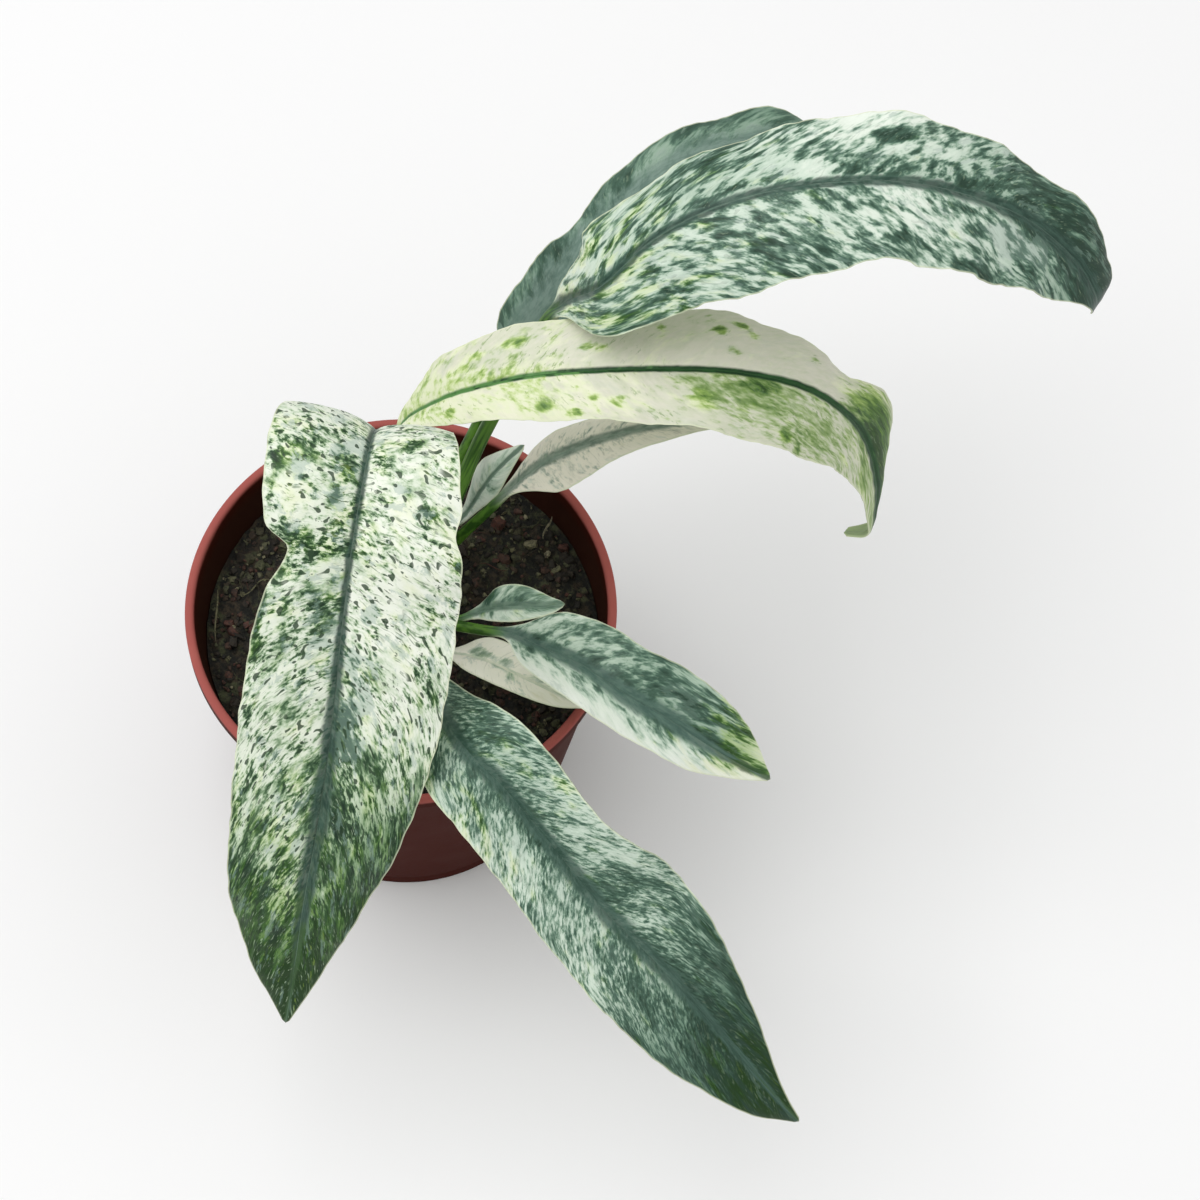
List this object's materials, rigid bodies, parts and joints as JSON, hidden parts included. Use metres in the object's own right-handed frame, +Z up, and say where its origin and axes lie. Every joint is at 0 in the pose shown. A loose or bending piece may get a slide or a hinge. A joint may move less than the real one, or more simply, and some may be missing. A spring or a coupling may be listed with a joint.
{
  "type": "potted rhaphidophora",
  "caption": "Leafy aroid house plant with long arching cream and green marbled leaves on slim stalks, growing from soil in a round tapered nursery pot.",
  "frame": {"origin": "centre of the flat underside of the pot's base, where the plant stands", "axes": "+Z up the pot's axis, -Y towards the side where the longest leaf arches forward, +X to the right seen from there"},
  "size_m": [0.2758, 0.2847, 0.27],
  "materials": {
    "pot_plastic": "satin terracotta plastic",
    "potting_soil": "matt dark potting mix with bark",
    "stem": "smooth fresh green",
    "leaf_cream": "satin cream leaf with green marbling",
    "leaf_grey": "satin grey-cream leaf with green patches",
    "leaf_green": "satin dark green leaf with mint and cream marbling"
  },
  "bodies": {
    "root": {"pot": "pot_plastic", "soil": "potting_soil", "stem_main": "stem", "stem_back": "stem", "stem_right": "stem", "leaf_front": "leaf_cream", "leaf_pale": "leaf_cream", "leaf_back_grey": "leaf_grey", "leaf_back_small": "leaf_grey", "leaf_shaded": "leaf_grey", "leaf_oval": "leaf_green", "leaf_upper_right": "leaf_green", "leaf_behind": "leaf_green", "leaf_low_right": "leaf_green", "leaf_right": "leaf_green"}
  },
  "joints": []
}
